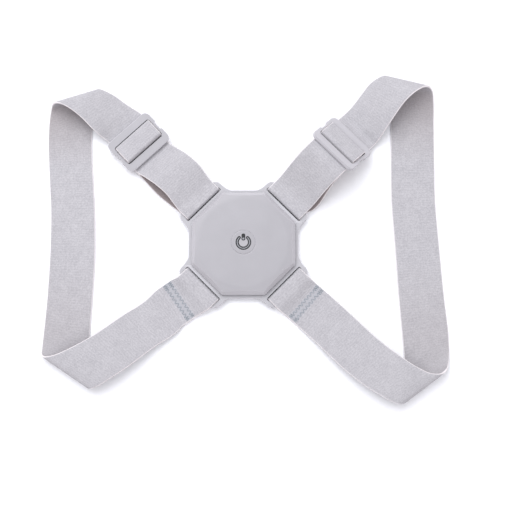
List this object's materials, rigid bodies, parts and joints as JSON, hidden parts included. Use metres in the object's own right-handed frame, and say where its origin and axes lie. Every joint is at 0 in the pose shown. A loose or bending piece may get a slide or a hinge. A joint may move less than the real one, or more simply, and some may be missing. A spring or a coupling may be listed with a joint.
{
  "type": "posture corrector",
  "caption": "Electronic posture corrector: an octagonal module with a power button, worn between the shoulder blades on loops of elastic webbing that the arms go through.",
  "frame": {"origin": "middle of the module's flat back face, on the surface that the part lies on", "axes": "+X to the right with the button facing the viewer, along the longest extent; +Y towards the neck, where the buckles are; +Z out of the button, the shortest extent"},
  "size_m": [0.2809, 0.2311, 0.023],
  "materials": {
    "housing_plastic": "fine satin, moulded",
    "cover_plastic": "satin, moulded",
    "button_plastic": "satin, moulded, with a sunk power symbol",
    "buckle_plastic": "satin, moulded",
    "webbing": "woven elastic"
  },
  "bodies": {
    "harness": {"back_housing": "housing_plastic", "front_cover": "cover_plastic", "left_buckle": "buckle_plastic", "left_strap": "webbing", "right_buckle": "buckle_plastic", "right_strap": "webbing"},
    "button": {"power_button": "button_plastic"}
  },
  "joints": [
    {"name": "button_press", "type": "slide", "parent": "harness", "child": "button", "axis": [0, 0, -1], "range_m": [0, 0.0005], "stiffness_N_per_m": 600, "springref_m": -0.001}
  ]
}
